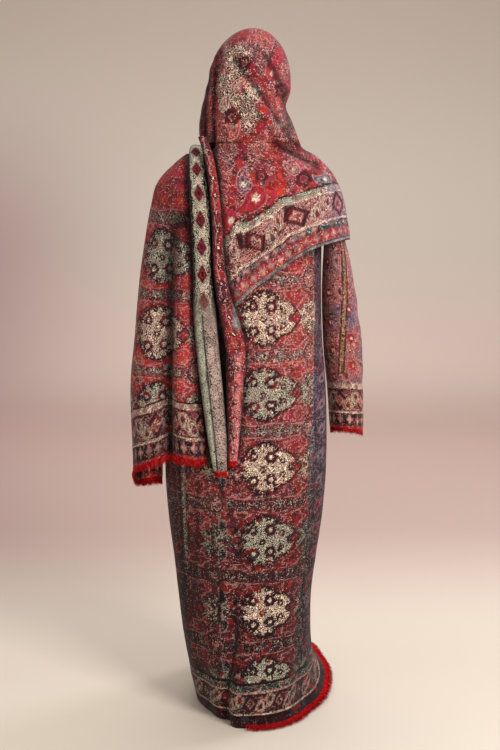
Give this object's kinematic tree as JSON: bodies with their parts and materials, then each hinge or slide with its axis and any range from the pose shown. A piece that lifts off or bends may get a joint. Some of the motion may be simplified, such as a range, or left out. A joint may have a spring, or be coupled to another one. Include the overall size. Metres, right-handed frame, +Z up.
{
  "type": "abaya with head shawl",
  "caption": "Full-length long-sleeved abaya in red woven shawl cloth, worn with a matching head shawl draped over one arm, with red frayed fringes.",
  "frame": {"origin": "the middle of the neck's base between the shoulder points, 1.39 m above the floor, where the wearer holds the garment up", "axes": "+Z up; +Y the way the garment faces, away from the picture's camera; +X the wearer's right"},
  "size_m": [0.5765, 0.5374, 1.6744],
  "materials": {
    "robe_cloth": "dense red, maroon and cream figured twill, matt with a slight sheen",
    "shawl_cloth": "the same figured twill, more crimson, matt with a slight sheen",
    "red_fringe": "matt bright red frayed threads"
  },
  "bodies": {
    "root": {"robe_back": "robe_cloth", "robe_front": "robe_cloth", "sleeve_right": "robe_cloth", "sleeve_left": "robe_cloth", "shawl_hood": "shawl_cloth", "shawl_shoulder": "shawl_cloth", "shawl_arm_fall": "shawl_cloth", "shawl_border_pleat": "shawl_cloth", "shawl_edge_pleat": "shawl_cloth", "fringe_hem": "red_fringe", "fringe_cuff_right": "red_fringe", "fringe_cuff_left": "red_fringe", "fringe_arm_fall": "red_fringe", "fringe_border_pleat": "red_fringe", "fringe_edge_pleat": "red_fringe"}
  },
  "joints": []
}
